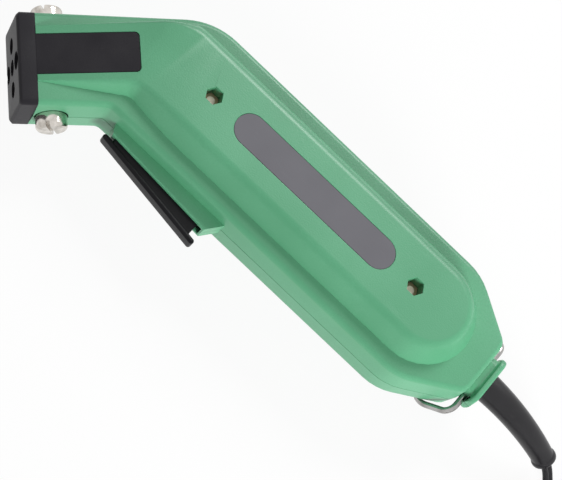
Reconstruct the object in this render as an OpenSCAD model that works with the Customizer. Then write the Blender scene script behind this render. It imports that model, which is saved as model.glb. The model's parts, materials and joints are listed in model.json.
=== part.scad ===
// Electric hot knife: a pistol-bent hand tool that lies on its right side pad.
// X runs along the handle to the cord, Y to the back of the handle, Z up through the parting plane.

/* [Handle] */
// Distance between the two case screws
screw_pitch = 120; // [118:1:130]
// Width of the handle at the parting line
handle_w = 66.5; // [66:0.5:72]
// Thickness over the two side pads
handle_t = 50; // [49:0.5:56]
// Thickness over the two shoulders and the nose
shoulder_t = 29; // [28.5:0.5:31]
// Wall of the two shells
wall = 2.4; // [2:0.1:2.6]
// Radius of the shoulder edge
edge_r = 2.6; // [2:0.1:3]
// Draw of the side walls from the parting line to the shoulder
draft = 0.6; // [0.3:0.1:1]
// Rear case screw to the end face of the tail
tail_len = 49.5; // [47:0.5:54]
// Length of the taper before the end face
taper_len = 28.5; // [26:0.5:30]
// Slope of the taper
taper_deg = 32; // [28:1:34]

/* [Side pad] */
// Width of the flat
pad_w = 33; // [32:0.5:36]
// Round end of the flat to the end face of the tail
pad_set = 23; // [22:0.5:25]
// Step of the pad above the shoulder at the nose cap
pad_step = 0.3; // [0.2:0.1:0.5]
// Nose axis to the upper edge of the flat
pad_up = 14.2; // [13:0.2:15]
// Nose axis to the lower edge of the flat
pad_low = 10.5; // [10:0.2:12]
// Slope of the pad's flank
pad_deg = 60; // [55:1:65]

/* [Nose] */
// Angle between nose and handle
nose_bend = 45; // [42:1:48]
// Height of the nose
nose_h = 43.4; // [42:0.2:46]
// Elbow to the front of the cap
nose_len = 64; // [62:1:70]
// Front case screw to the elbow
elbow_set = 26.3; // [25:0.1:30]
// Depth of the cap
cap_len = 8; // [7:0.5:9]
// Front wall of the cap
cap_wall = 3; // [2.5:0.1:3.5]
// Width of a side tongue
tongue_w = 18; // [16:0.5:20]
// Length of a side tongue
tongue_len = 43.5; // [40:0.5:46]
// Thickness of a side tongue
tongue_t = 1.3; // [1:0.1:1.5]
// Diameter of the two side vents in the cap
vent_d = 8; // [6:0.2:8.4]
// Nose axis to a side vent
vent_off = 9.4; // [9:0.1:9.8]

/* [Blade clamp] */
// Distance between the two blade sockets
blade_pitch = 20; // [19:0.5:21]
// Bore of a blade socket
blade_bore = 7; // [5:0.5:7.5]
// Length of a terminal
term_len = 13; // [11:0.5:14]
// Side of a terminal's square section
term_side = 12; // [11:0.5:12.5]
// Diameter of a clamp screw's head
clamp_head_d = 14; // [12:0.5:14.5]
// Height of a clamp screw's head above the nose
clamp_proud = 6.3; // [5:0.1:8]
// Diameter of a clamp screw's shank
clamp_d = 6; // [5:0.5:6.5]
// Front of the cap to a clamp screw
clamp_set = 16; // [15.8:0.1:17]

/* [Trigger] */
// Length of the finger plate
trigger_len = 61; // [58:0.5:63]
// Thickness of the finger plate
trigger_t = 2.6; // [2.2:0.1:3.2]
// Width of the finger plate
trigger_w = 7.2; // [6.4:0.1:7.4]
// Slope of the released plate
trigger_deg = 7.8; // [7:0.1:8.5]
// Width of the raised frame round the slot
frame_w = 11.2; // [11:0.2:13]
// Wall of the raised frame
frame_wall = 1.8; // [1.4:0.1:1.8]
// Diameter of the trigger pin
trigger_pin_d = 3; // [2.5:0.1:3.5]

/* [Transformer] */
// Length of the core
core_len = 54; // [50:1:55]
// Clearance between the core's frame and the side wall
core_room = 3.55; // [3.5:0.05:6]
// Height of the ribs between the core and the shoulder
core_seat = 0.6; // [0.4:0.1:2]
// Width of the middle limb
limb_w = 18; // [16:0.5:18]
// Thickness of the heavy secondary strip
strip_t = 1.6; // [1:0.1:1.8]
// Width of the copper bars
bar_w = 10; // [8:0.5:10.5]
// Thickness of the copper bars
bar_t = 2.8; // [2:0.1:3]

/* [Tail] */
// Width of the neck that the loop turns in
neck_w = 21; // [19:0.5:22]
// Height of the neck
neck_t = 17.4; // [16:0.2:17.6]
// Width of the collar
collar_w = 26; // [24:0.5:26]
// Height of the collar
collar_t = 18; // [18:0.5:20]
// Length of the collar
collar_len = 3.2; // [3:0.2:6]
// Diameter of the sleeve at the collar
sleeve_d = 14; // [13:0.5:15]
// Diameter of the sleeve before its end bead
sleeve_end_d = 10.8; // [10:0.2:12]
// Length of the sleeve behind the collar
sleeve_len = 45.2; // [42:0.1:47]
// Diameter of the loop's wire
wire_d = 3; // [2.4:0.1:3]
// Edge of the tail's end face to the wire beside it
loop_beside = 6; // [6:0.2:10]
// Neck to the far end of the loop
loop_len = 28.4; // [28.2:0.1:28.8]

/* [Cord] */
// Width of the flat twin cord
cord_w = 5.6; // [5:0.1:5.8]
// Thickness of the flat twin cord
cord_t = 3; // [2.6:0.1:3.2]
// Loops in each of the coil's two layers
coil_turns = 5; // [4:1:6]
// Radius of the outermost loop
coil_r = 44; // [42:1:50]

/* [Fasteners and clearances] */
// Case screw thread
case_d = 4; // [3.5:0.1:4.2]
// Across flats of a case nut
nut_af = 7; // [6:0.1:7.2]
// Height of a case nut
nut_h = 3.2; // [2.4:0.1:3.6]
// Clearance round a fixed piece
fit_gap = 0.15; // [0.1:0.05:0.2]
// Clearance round a moving piece
run_gap = 0.3; // [0.25:0.05:0.4]
// Radial clearance of the trigger on its pin
pin_gap = 0.05; // [0.03:0.01:0.08]

/* [Hidden] */
$fn = 48;
over = 1;
tiny = 0.05;

// Colours
green = [0.42, 0.68, 0.55];
black = [0.16, 0.16, 0.17];
plate_grey = [0.45, 0.46, 0.49];
nickel = [0.78, 0.77, 0.74];
brass_tone = [0.8, 0.68, 0.4];
copper_tone = [0.72, 0.45, 0.3];
steel_tone = [0.62, 0.63, 0.65];
rubber_tone = [0.19, 0.19, 0.2];
cream = [0.86, 0.82, 0.7];

// Main places
half_t = handle_t / 2;
half_s = shoulder_t / 2;
half_w = handle_w / 2;
inner_s = half_s - wall;
rear_x = screw_pitch / 2;
elbow_x = -rear_x - elbow_set;
tail_x = rear_x + tail_len;
shell_front = cap_len - nose_len;
taper_r = 28;
tail_r = 7;
crook_r = 4;
far_nose = 12;
seam = 0.3;

function dir(a) = [cos(a), sin(a)];
function unit(v) = v / norm(v);
function left(v) = [-v.y, v.x];
function turn_deg(a, b) = atan2(a.x * b.y - a.y * b.x, a * b);
function spun(v, a) = [v.x * cos(a) - v.y * sin(a), v.x * sin(a) + v.y * cos(a)];
function same(x, p) = [for (q = p) x];
function step(t) = t * t * (3 - 2 * t);
// Nose coordinates, along and across the nose axis, to handle coordinates and back
function from_nose(p) = [elbow_x, 0] + spun(p, nose_bend);
function along_nose(p) = (p.x - elbow_x) * cos(nose_bend) + p.y * sin(nose_bend);
function nose_3d(x, y, z) = let (p = from_nose([x, y])) [p.x, p.y, z];
// A polygon inset by d with rounded corners: a list of points, each with its outward direction
function soft(v, r, k, d) = [for (i = [0:len(v) - 1])
  let (n = len(v), e0 = unit(v[i] - v[(i + n - 1) % n]), e1 = unit(v[(i + 1) % n] - v[i]),
    n0 = left(e0), n1 = left(e1), p = v[i] + d * (n0 + n1) / (1 + n0 * n1), t = turn_deg(e0, e1),
    q = max(tiny, r[i] - sign(t) * d), s = p - e0 * q * tan(abs(t) / 2), c = s + sign(t) * q * n0)
  for (j = [0:k[i]]) let (a = k[i] == 0 ? t / 2 : t * j / k[i])
    [k[i] == 0 ? p : c + spun(s - c, a), spun(-n0, a)]];

// Outline of the shells at the parting line
nose_under = (nose_h / 2 * cos(nose_bend) - half_w) / sin(nose_bend);
nose_over = (half_w - nose_h / 2 * cos(nose_bend)) / sin(nose_bend);
tail_half = half_w - taper_len * tan(taper_deg);
border = shell_front - tiny;
rise_shares = [0.5, 0.85, 1.23];
rise_x = [for (q = rise_shares) elbow_x + elbow_set * q];
back_shares = [0.39, 0.545, 0.7];
back_x = [for (q = back_shares) elbow_x + elbow_set * q];
over_shares = [0.26, 0.11, -0.05];
function run_out(y) = [for (x = rise_x) [x, y]];
function run_back(y) = [for (i = [2:-1:0]) [back_x[i], y]];
function run_over(y) = [for (q = over_shares) from_nose([elbow_set * q, y])];
body_v = concat([from_nose([-nose_len - far_nose, -nose_h / 2]), from_nose([border, -nose_h / 2]),
  from_nose([nose_under, -nose_h / 2])], run_out(-half_w), [[tail_x - taper_len, -half_w], [tail_x, -tail_half],
  [tail_x, tail_half], [tail_x - taper_len, half_w], from_nose([nose_over, nose_h / 2])], run_over(nose_h / 2),
  [from_nose([border, nose_h / 2]), from_nose([-nose_len - far_nose, nose_h / 2])]);
body_r = [0, 0, crook_r, 0, 0, 0, taper_r, tail_r, tail_r, taper_r, half_w, 0, 0, 0, 0, 0];
body_k = [0, 0, 8, 0, 0, 0, 4, 3, 3, 4, 8, 0, 0, 0, 0, 0];
function body_ring(d, z) = [for (q = soft(body_v, body_r, body_k, d)) [q[0].x, q[0].y, z]];
function edge_rings(d, r) = [for (a = [30, 60, 90])
  body_ring(d + draft + r * (1 - cos(a)), half_s - d - r + r * sin(a))];

// Outline of the flat of a side pad, its lower run first and its upper run back
flat_half = pad_w / 2;
flat_x = tail_x - pad_set;
flat_end_r = flat_half - tiny;
pad_crook_r = 12;
pad_elbow_r = 24;
pad_under = (pad_low * cos(nose_bend) - flat_half) / sin(nose_bend);
pad_over = (flat_half - pad_up * cos(nose_bend)) / sin(nose_bend);
pad_v = concat([from_nose([-nose_len - far_nose / 2, -pad_low]), from_nose([border, -pad_low]),
  from_nose([pad_under, -pad_low])], run_out(-flat_half), [[flat_x, -flat_half], [flat_x, flat_half]],
  run_back(flat_half), [from_nose([pad_over, pad_up]), from_nose([border, pad_up]),
  from_nose([-nose_len - far_nose / 2, pad_up])]);
pad_r = [0, 0, pad_crook_r, 0, 0, 0, flat_end_r, flat_end_r, 0, 0, 0, pad_elbow_r, 0, 0];
pad_k = [0, 0, 8, 0, 0, 0, 8, 8, 0, 0, 0, 8, 0, 0];
// Height of the flat over the parting plane: it climbs along the nose and levels out past the elbow
flare_a = -3;
flare_b = 11;
pad_front = half_s + pad_step;
pad_rate = (half_t - pad_front) / (flare_a - shell_front + (flare_b - flare_a) / 2);
function pad_z(x) = x < shell_front ? pad_front
  : x < flare_a ? pad_front + pad_rate * (x - shell_front)
  : x < flare_b ? half_t - pad_rate * (flare_b - x) * (flare_b - x) / (flare_b - flare_a) / 2 : half_t;
// Flank of the pad as shares of its local height: outward and up, from the shoulder to the flat
round_share = 0.47;
flank = concat([[round_share * sin(pad_deg) + (1 - round_share * (1 - cos(pad_deg))) / tan(pad_deg), 0]],
  [for (i = [4:-1:0]) let (a = pad_deg * i / 4) [round_share * sin(a), 1 - round_share * (1 - cos(a))]]);
// Room for the flank: on the upper side of the nose it stands steeper, to stay on the shoulder
nose_room = nose_h / 2 - draft - edge_r - pad_up;
handle_room = half_w - draft - edge_r - flat_half;
pad_n = len(soft(pad_v, pad_r, pad_k, 0));
function room(i) = let (t = max(0, min(1, (pad_n - 3 - i) / 8)))
  nose_room + (handle_room - nose_room) * t * t * sqrt(t);
function lean(i, h) = min(1, room(i) / flank[0][0] / h);
function pad_rings(d) = let (o = soft(pad_v, pad_r, pad_k, d))
  [for (f = flank) [for (i = [0:pad_n - 1]) let (h = pad_z(along_nose(o[i][0])) - half_s,
    p = o[i][0] + o[i][1] * f[0] * h * lean(i, h)) [p.x, p.y, half_s - d + f[1] * h]]];

// A solid through rings of points, or its mirror image below the parting plane (side -1);
// a ladder joins the two runs of an end ring rung by rung, and a hollow joins the last ring to the first
function rungs(t, n) = [for (i = [0:n / 2 - 2]) let (a = t + i, b = t + n - 1 - i)
  each [[a, b, b - 1], [a, b - 1, a + 1]]];
function flipped(f) = [for (q = f) [q[0], q[2], q[1]]];
function reversed(p) = [for (i = [len(p) - 1:-1:0]) p[i]];
module loft(rings, top_ladder = false, low_ladder = false, side = 1, hollow = false) {
  n = len(rings[0]);
  t = (len(rings) - 1) * n;
  sides = [for (k = [0:len(rings) - (hollow ? 1 : 2)]) for (i = [0:n - 1])
    let (a = k * n, b = (k + 1) % len(rings) * n, j = (i + 1) % n)
    each [[a + i, b + i, b + j], [a + i, b + j, a + j]]];
  low = hollow ? [] : low_ladder ? flipped(rungs(0, n)) : [[for (i = [0:n - 1]) i]];
  top = hollow ? [] : top_ladder ? rungs(t, n) : [[for (i = [n - 1:-1:0]) t + i]];
  f = concat(low, sides, top);
  polyhedron(points = [for (r = rings) for (p = r) [p.x, p.y, side * p.z]],
    faces = side > 0 ? f : [for (q = f) reversed(q)]);
}
// Rings of a flat or round section carried along a path, its wide side along the given directions
function tangent(p, i) = unit(p[min(i + 1, len(p) - 1)] - p[max(i - 1, 0)]);
function level(p) = [for (i = [0:len(p) - 1]) let (t = tangent(p, i)) [-t.y, t.x, 0]];
function carried(p, wide, w, h, k, turn = 0.5) = [for (i = [0:len(p) - 1])
  let (t = tangent(p, i), a = unit(wide[i] - (wide[i] * t) * t), b = cross(t, a))
  [for (j = [0:k - 1]) let (q = 360 * (j + turn) / k) p[i] + a * w[i] * cos(q) + b * h[i] * sin(q)]];
// A smooth path through points
function eased(p, k) = concat([for (i = [0:len(p) - 2]) for (j = [0:k - 1])
  let (t = j / k, a = p[max(i - 1, 0)], b = p[i], c = p[i + 1], d = p[min(i + 2, len(p) - 1)])
  b + (c - a) / 2 * t + (2 * a - 5 * b + 4 * c - d) / 2 * t * t + (3 * b - a - 3 * c + d) / 2 * t * t * t],
  [p[len(p) - 1]]);
module tube(p, wide, d, k) { loft(carried(p, wide, same(d / 2, p), same(d / 2, p), k)); }

module rest() { translate([0, 0, half_t]) children(); }
module nose() { translate([elbow_x, 0, 0]) rotate([0, 0, nose_bend]) children(); }
module both() { children(); mirror([0, 0, 1]) children(); }
module on(side) { mirror([0, 0, side > 0 ? 0 : 1]) children(); }
module box(a, b) { translate(a) cube(b - a); }
module rod_x(p, d, h) { translate(p) rotate([0, 90, 0]) cylinder(d = d, h = h); }
module rod_y(p, d, h) { translate(p) rotate([-90, 0, 0]) cylinder(d = d, h = h); }
module rod_z(p, d, h) { translate(p) cylinder(d = d, h = h); }
module hexagon_z(p, af, h) { translate(p) cylinder(d = af / cos(30), h = h, $fn = 6); }
module round_rect(w, h, r) {
  square([w - 2 * r, h], center = true);
  square([w, h - 2 * r], center = true);
  for (x = [-1, 1], y = [-1, 1]) translate([x * (w / 2 - r), y * (h / 2 - r)]) circle(r);
}
module along_x(a, b) { translate([a, 0, 0]) rotate([90, 0, 90]) linear_extrude(b - a) children(); }
// A rounded bar along X from a to b, with its width in Y and its height in Z
module bar_x(a, b, w, h, r) { along_x(a, b) round_rect(w, h, r); }
module stadium(x, r, z0, z1) {
  translate([0, 0, z0]) linear_extrude(z1 - z0) {
    square([2 * x, 2 * r], center = true);
    for (s = [-1, 1]) translate([s * x, 0]) circle(r);
  }
}

// Case screws and plates
post_d = 11;
nut_depth = 10.5;
head_depth = 6;
case_head_d = 7;
case_head_h = 2.6;
label_x = 38.2;
label_r = 7.6;
label_t = 0.5;
tongue_sunk = 0.15;
// Raised frame round the trigger's slot, from the front case screw and the handle's edge
frame_ahead = 20.4;
frame_behind = 36.4;
frame_rise_front = 4.3;
frame_rise_rear = 7.6;
frame_run = 7;
frame_lean = 3.6;
frame_front = [-rear_x - frame_ahead, -half_w - frame_rise_front];
frame_rear = [-rear_x + frame_behind, -half_w - frame_rise_rear];
slot_half = frame_w / 2 - frame_wall;
slot_front = frame_front.x + frame_wall;
slot_rear = frame_rear.x - frame_wall / 2;
// Trigger pivot
pivot_ahead = 18;
pivot_in = 7.2;
pivot_post_d = 8;
pivot = [-rear_x - pivot_ahead, -half_w + pivot_in];
eye_half = slot_half - run_gap - fit_gap;
// Snap switch
switch_len = 27.8;
switch_h = 15.9;
switch_t = 10.3;
switch_in = 7;
plunger_behind = 6;
plunger_back = 9.5;
plunger_d = 3;
plunger_len = 2.6;
plunger_x = -rear_x + plunger_behind;
switch_x = plunger_x - plunger_back;
switch_low = -half_w + switch_in;
switch_top = switch_low + switch_h;
switch_pin_d = 3;
switch_pin_in = 2.8;
switch_pin_x = [switch_x + switch_pin_in, switch_x + switch_len - switch_pin_in];
switch_pin_y = switch_low + switch_pin_in;
switch_post_d = 6;
// Return spring and its seat
spring_behind = 29;
spring_d = 6;
spring_wire = 0.7;
spring_turns = 5;
seat_half = 4.5;
seat_in = 9.2;
seat_h = 3;
spring_x = -rear_x + spring_behind;
seat_y = -half_w + seat_in;
// Transformer
core_behind = 67;
core_up = 3;
frame_plate = 1.2;
core_c = [-rear_x + core_behind, core_up];
core_beside = 6;
core_w = 2 * min(half_w - wall - draft - core_room - frame_plate - core_up, pad_w / 2 + core_beside);
core_t = shoulder_t - 2 * wall - 2 * core_seat;
rib = 1.2;
// Cord clamp
clamp_ahead = 18;
clamp_len = 8;
clamp_w = 26;
clamp_h = 4;
clamp_screw_y = 9;
clamp_screw_d = 3;
clamp_x = tail_x - clamp_ahead;
clamp_z = cord_t / 2 + fit_gap;
// Tail neck and collar
neck_len = wire_d + 2 * run_gap;
neck_r = 4.5;
collar_r = 4.8;
collar_x = tail_x + neck_len;
collar_end = collar_x + collar_len;
loop_x = tail_x + neck_len / 2;
sleeve_neck_d = 10;
sleeve_flange_d = 15;
sleeve_flange_t = 2.8;
sleeve_bore = 7;
// Blade clamp
clamp_at = clamp_set - nose_len;
clamp_hole_d = clamp_head_d + 3 * run_gap;
clamp_sunk = 0.7;
term_inset = 2.5;
term_x = shell_front + term_inset;
term_end = term_x + term_len;
blade_y = blade_pitch / 2;
// Side tongues of the cap
tongue_mid = 1.4;
tongue_r = 2.2;
tongue_tilt = atan(pad_rate);

// Rings of an offset of the case's skin from the given height up, and the hollow half that two of them bound
function skin_rings(d, low) = let (r = max(edge_r - d, 4 * tiny))
  concat(d > 0 ? [body_ring(d, low)] : [body_ring(seam, low), body_ring(0, low + seam)],
    [body_ring(d + draft, half_s - d - r)], edge_rings(d, r), pad_rings(d));
module hollow_half(side) {
  loft(concat(reversed(skin_rings(wall, 0)), skin_rings(0, 0)), top_ladder = true, low_ladder = true,
    side = side);
}
module trigger_frame() {
  linear_extrude(frame_w / 2) polygon([[frame_front.x - frame_lean, wall - half_w], frame_front, frame_rear,
    [frame_rear.x + frame_run, wall - half_w]]);
}
module half_bar(a, b, w, h, r) {
  along_x(a, b) intersection() {
    round_rect(w, h, r);
    translate([-w, 0]) square([2 * w, h]);
  }
}
// Tongue of the cap in the climbing flat of the nose, grown by g on its edges, between two depths
module tongue(g, low, high) {
  l = tongue_len / cos(tongue_tilt) + 2 * g - tongue_r;
  w = tongue_w + 2 * g;
  nose() translate([shell_front, tongue_mid, pad_front - tongue_sunk]) rotate([0, -tongue_tilt, 0])
    translate([-g, 0, low]) linear_extrude(high - low) {
      translate([0, -w / 2]) square([l, w]);
      translate([0, tongue_r - w / 2]) square([l + tongue_r, w - 2 * tongue_r]);
      for (s = [-1, 1]) translate([l, s * (w / 2 - tongue_r)]) circle(tongue_r);
    }
}
// Posts and ribs inside a half, up to the middle of its wall
module seats(side) {
  intersection() {
    loft(skin_rings(wall / 2, -over), top_ladder = true, side = side);
    on(side) {
      for (s = [-1, 1]) rod_z([s * rear_x, 0, 0], post_d, half_t);
      rod_z([pivot.x, pivot.y, eye_half + run_gap], pivot_post_d, half_t);
      for (x = switch_pin_x) rod_z([x, switch_pin_y, switch_t / 2 + fit_gap], switch_post_d, half_t);
      box([spring_x - seat_half, seat_y, 0], [spring_x + seat_half, seat_y + seat_h, half_t]);
      for (s = [-1, 1]) nose() box([term_x + rib, s * blade_y - term_side / 2 + rib, term_side / 2 + fit_gap],
        [term_end - rib, s * blade_y + term_side / 2 - rib, half_t]);
      for (sx = [-1, 1], sy = [-1, 1]) translate([core_c.x + sx * (core_len / 2 - 2 * rib) - rib,
        core_c.y + sy * (core_w / 2 - 2 * rib) - rib, core_t / 2]) cube([2 * rib, 2 * rib, half_t]);
      if (side < 0) box([clamp_x, -clamp_w / 2, clamp_z], [clamp_x + clamp_len, clamp_w / 2, half_t]);
    }
  }
}
// One half of the case: the left one has the nut pockets, the right one the screw heads and the cord's saddle
module half_case(side) {
  difference() {
    union() {
      hollow_half(side);
      seats(side);
      on(side) trigger_frame();
      on(side) half_bar(tail_x - wall / 2, collar_x + tiny, neck_w, neck_t, neck_r);
      on(side) half_bar(collar_x, collar_end, collar_w, collar_t, collar_r);
    }
    on(side) {
      nose() box([-nose_len - 2 * far_nose, -nose_h, -over], [shell_front, nose_h, handle_t]);
      for (s = [-1, 1]) {
        rod_z([s * rear_x, 0, -over], case_d + 2 * fit_gap, handle_t);
        if (side > 0) hexagon_z([s * rear_x, 0, half_t - nut_depth], nut_af + 2 * fit_gap, handle_t);
        else rod_z([s * rear_x, 0, half_t - head_depth], case_head_d + 2 * run_gap, handle_t);
      }
      stadium(label_x, label_r + fit_gap, half_t - label_t, handle_t);
      tongue(run_gap, -tongue_t - fit_gap, half_t);
      box([slot_front, -handle_w, -over], [slot_rear, wall - half_w + over, slot_half]);
      rod_z([pivot.x, pivot.y, -over], trigger_pin_d, inner_s - wall / 2 + over);
      for (x = switch_pin_x) rod_z([x, switch_pin_y, -over], switch_pin_d, inner_s - wall / 2 + over);
      rod_x([tail_x - 2 * wall, 0, 0], sleeve_neck_d + 2 * fit_gap, collar_end - tail_x + 3 * wall);
      for (s = [-1, 1]) rod_y([loop_x, s * neck_w / 2 - wall, 0], wire_d + 2 * fit_gap, 2 * wall);
      nose() for (s = [0, 1]) mirror([0, s, 0])
        rod_y([clamp_at, nose_h / 2 - 2 * wall, 0], clamp_hole_d, nose_h);
      if (side < 0) for (s = [-1, 1]) rod_z([clamp_x + clamp_len / 2, s * clamp_screw_y, -over], clamp_screw_d,
        clamp_z + 1.5 * clamp_h + over);
    }
  }
}
module left_shell() { color(green) rest() half_case(1); }
module right_shell() { color(green) rest() half_case(-1); }

// Front cap with its five holes, its collar inside the shells and its two tongues
cap_edge = 1.4;
cap_r = 2.4;
cap_skirt = 2;
cap_in = wall + draft + fit_gap;
skirt_w = nose_h - 2 * cap_in;
skirt_t = shoulder_t - 2 * cap_in;
skirt_r = 0.6;
module cap_outer() {
  w = nose_h - 2 * draft;
  hull() {
    bar_x(cap_edge - nose_len, shell_front, w, shoulder_t, cap_r, $fn = 32);
    bar_x(cap_edge / 3 - nose_len, shell_front, w - cap_edge, shoulder_t - cap_edge, cap_r, $fn = 32);
    bar_x(-nose_len, shell_front, w - 2 * cap_edge, shoulder_t - 2 * cap_edge, cap_r - cap_edge / 2, $fn = 32);
  }
}
module nose_cap() {
  color(black) rest() difference() {
    union() {
      nose() cap_outer();
      nose() bar_x(shell_front - tiny, shell_front + cap_skirt, skirt_w, skirt_t, skirt_r);
      both() translate(-tiny * concat(dir(nose_bend), 0)) tongue(0, -tongue_t, 0);
    }
    nose() bar_x(cap_wall - nose_len, shell_front + cap_skirt + over, skirt_w - 2 * rib, skirt_t - 2 * rib,
      skirt_r);
    nose() for (y = [-blade_y, 0, blade_y])
      rod_x([-nose_len - over, y, 0], blade_bore + 2 * fit_gap, cap_wall + 2 * over);
    nose() for (s = [-1, 1]) rod_x([-nose_len - over, 0, s * vent_off], vent_d, cap_wall + 2 * over);
  }
}
module side_plate() { stadium(label_x, label_r, half_t - label_t, half_t); }
module label_plate() { color(plate_grey) rest() side_plate(); }
module rating_plate() { color(plate_grey) rest() mirror([0, 0, 1]) side_plate(); }

// Slotted blade clamp screw on the upper side of the nose, down to the edge of the socket
clamp_slot = 1.6;
clamp_slot_h = 2.4;
clamp_bevel = 0.8;
module clamp_screw() {
  base = nose_h / 2 - clamp_sunk;
  top = nose_h / 2 + clamp_proud;
  tip = blade_y + blade_bore / 2 + run_gap;
  color(nickel) difference() {
    union() {
      rod_y([clamp_at, tip, 0], clamp_d, base - tip + tiny);
      rod_y([clamp_at, base, 0], clamp_head_d, top - base - clamp_bevel);
      translate([clamp_at, top - clamp_bevel, 0]) rotate([-90, 0, 0])
        cylinder(d1 = clamp_head_d, d2 = clamp_head_d - 2 * clamp_bevel, h = clamp_bevel);
    }
    box([clamp_at - clamp_slot / 2, top - clamp_slot_h, -clamp_head_d],
      [clamp_at + clamp_slot / 2, top + over, clamp_head_d]);
  }
}
module clamp_screw_top() { rest() nose() clamp_screw(); }
module clamp_screw_bottom() { rest() nose() mirror([0, 1, 0]) clamp_screw(); }
module terminal() {
  color(brass_tone) difference() {
    box([term_x, blade_y - term_side / 2, -term_side / 2], [term_end, blade_y + term_side / 2, term_side / 2]);
    rod_x([term_x - over, blade_y, 0], blade_bore, term_len + 2 * over);
    rod_y([clamp_at, blade_y, 0], clamp_d + 2 * run_gap, term_side);
  }
}
module terminal_top() { rest() nose() terminal(); }
module terminal_bottom() { rest() nose() mirror([0, 1, 0]) terminal(); }
module terminal_spacer() {
  y = blade_y - term_side / 2 - fit_gap;
  color(cream) rest() nose() box([term_x, -y, -term_side / 2], [term_end, y, term_side / 2]);
}

// Transformer: shell-type core, steel frame, bobbin, primary and one-turn secondary
yoke = limb_w / 2;
window_w = (core_len - limb_w) / 2 - yoke;
flange_t = 1;
wind_room_x = 8.5;
wind_room_z = 8.6;
coil_x_half = limb_w / 2 + wind_room_x;
coil_z_half = core_t / 2 + wind_room_z;
module ring_y(x0, z0, x1, z1, y) {
  difference() {
    box([-x1, -y, -z1], [x1, y, z1]);
    box([-x0, -y - over, -z0], [x0, y + over, z0]);
  }
}
module at_core() { rest() translate([core_c.x, core_c.y, 0]) children(); }
module core() {
  color(steel_tone) at_core() difference() {
    box([-core_len / 2, -core_w / 2, -core_t / 2], [core_len / 2, core_w / 2, core_t / 2]);
    for (s = [0, 1]) mirror([s, 0, 0]) box([limb_w / 2, yoke - core_w / 2, -core_t],
      [limb_w / 2 + window_w, core_w / 2 - yoke, core_t]);
  }
}
module core_frame() {
  x = core_len / 2;
  y = core_w / 2;
  z = core_t / 2 - 2 * rib;
  color(steel_tone) at_core() difference() {
    box([-x - frame_plate, -y + 2 * rib, -z], [x + frame_plate, y + frame_plate, z]);
    box([-x, -y, -z - over], [x, y, z + over]);
  }
}
bobbin_in_x = limb_w / 2 + fit_gap;
bobbin_in_z = core_t / 2 + fit_gap;
bobbin_y = core_w / 2 - yoke - fit_gap;
wind_x = bobbin_in_x + flange_t;
wind_z = bobbin_in_z + flange_t;
wind_t = coil_x_half - strip_t - 2 * fit_gap - wind_x;
wind_y = bobbin_y - flange_t - fit_gap;
module bobbin() {
  color(cream) at_core() {
    ring_y(bobbin_in_x, bobbin_in_z, wind_x, wind_z, bobbin_y);
    for (s = [-1, 1]) translate([0, s * (bobbin_y - flange_t / 2), 0])
      ring_y(bobbin_in_x, bobbin_in_z, coil_x_half, coil_z_half, flange_t / 2);
  }
}
module primary_winding() {
  color(copper_tone) at_core() ring_y(wind_x + tiny, wind_z + tiny, wind_x + wind_t, wind_z + wind_t, wind_y);
}
lead_reach = 38;
lead_x = core_c.x - lead_reach;
lead_z = coil_z_half - strip_t;
strip_y = wind_y - 3 * rib;
module secondary_strip() {
  x = coil_x_half;
  z = coil_z_half;
  color(copper_tone) at_core() {
    difference() {
      ring_y(x - strip_t, z - strip_t, x, z, strip_y);
      box([-x - over, -strip_y - over, -core_t / 2], [0, strip_y + over, core_t / 2]);
    }
    both() box([-lead_reach, -bar_w / 2, z - strip_t], [strip_t - x, bar_w / 2, z]);
  }
}

// Copper bars from the terminals to the secondary's leads, flat strips that clear the front post, the lower one
// between that post and the posts of the switch
bar_z = lead_z - bar_t / 2 - 2 * fit_gap;
top_rise_shares = [0.2, 0.6, 0.7];
low_rise_shares = [0.25, 0.6, 0.78, 0.92];
bar_clear = 2;
bar_off = min(post_d / 2 + bar_clear + bar_w / 2, (post_d / 2 - switch_pin_y - switch_post_d / 2) / 2);
bar_top_path = eased([nose_3d(term_end + fit_gap, blade_y, 0), nose_3d(term_end + bar_w, blade_y, 0),
  nose_3d(flare_a - bar_w, blade_y, bar_z * top_rise_shares[0]),
  nose_3d(flare_b, blade_y, bar_z * top_rise_shares[1]),
  [-rear_x - bar_w / 2, post_d / 2 + bar_w, bar_z * top_rise_shares[2]],
  [-rear_x + 2 * bar_w, core_c.y + bar_t, bar_z], [lead_x + bar_t, core_c.y, bar_z],
  [lead_x + bar_w, core_c.y, bar_z]], 4);
bar_low_path = eased([nose_3d(term_end + fit_gap, -blade_y, 0), nose_3d(term_end + bar_w, -blade_y, 0),
  nose_3d(flare_a - bar_w, -blade_y, -bar_z * low_rise_shares[0]),
  [pivot.x, -bar_off, -bar_z * low_rise_shares[1]],
  [-rear_x, -bar_off, -bar_z * low_rise_shares[2]],
  [-rear_x + 1.3 * bar_w, -bar_off, -bar_z * low_rise_shares[3]],
  [lead_x - bar_t, core_c.y - bar_t, -bar_z], [lead_x + bar_t, core_c.y, -bar_z],
  [lead_x + bar_w, core_c.y, -bar_z]], 4);
module strap(p) {
  r = sqrt(2) / 2;
  loft(carried(p, level(p), same(bar_w * r, p), same(bar_t * r, p), 4));
}
module copper_bar_top() { color(copper_tone) rest() strap(bar_top_path); }
module copper_bar_bottom() { color(copper_tone) rest() strap(bar_low_path); }

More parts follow.
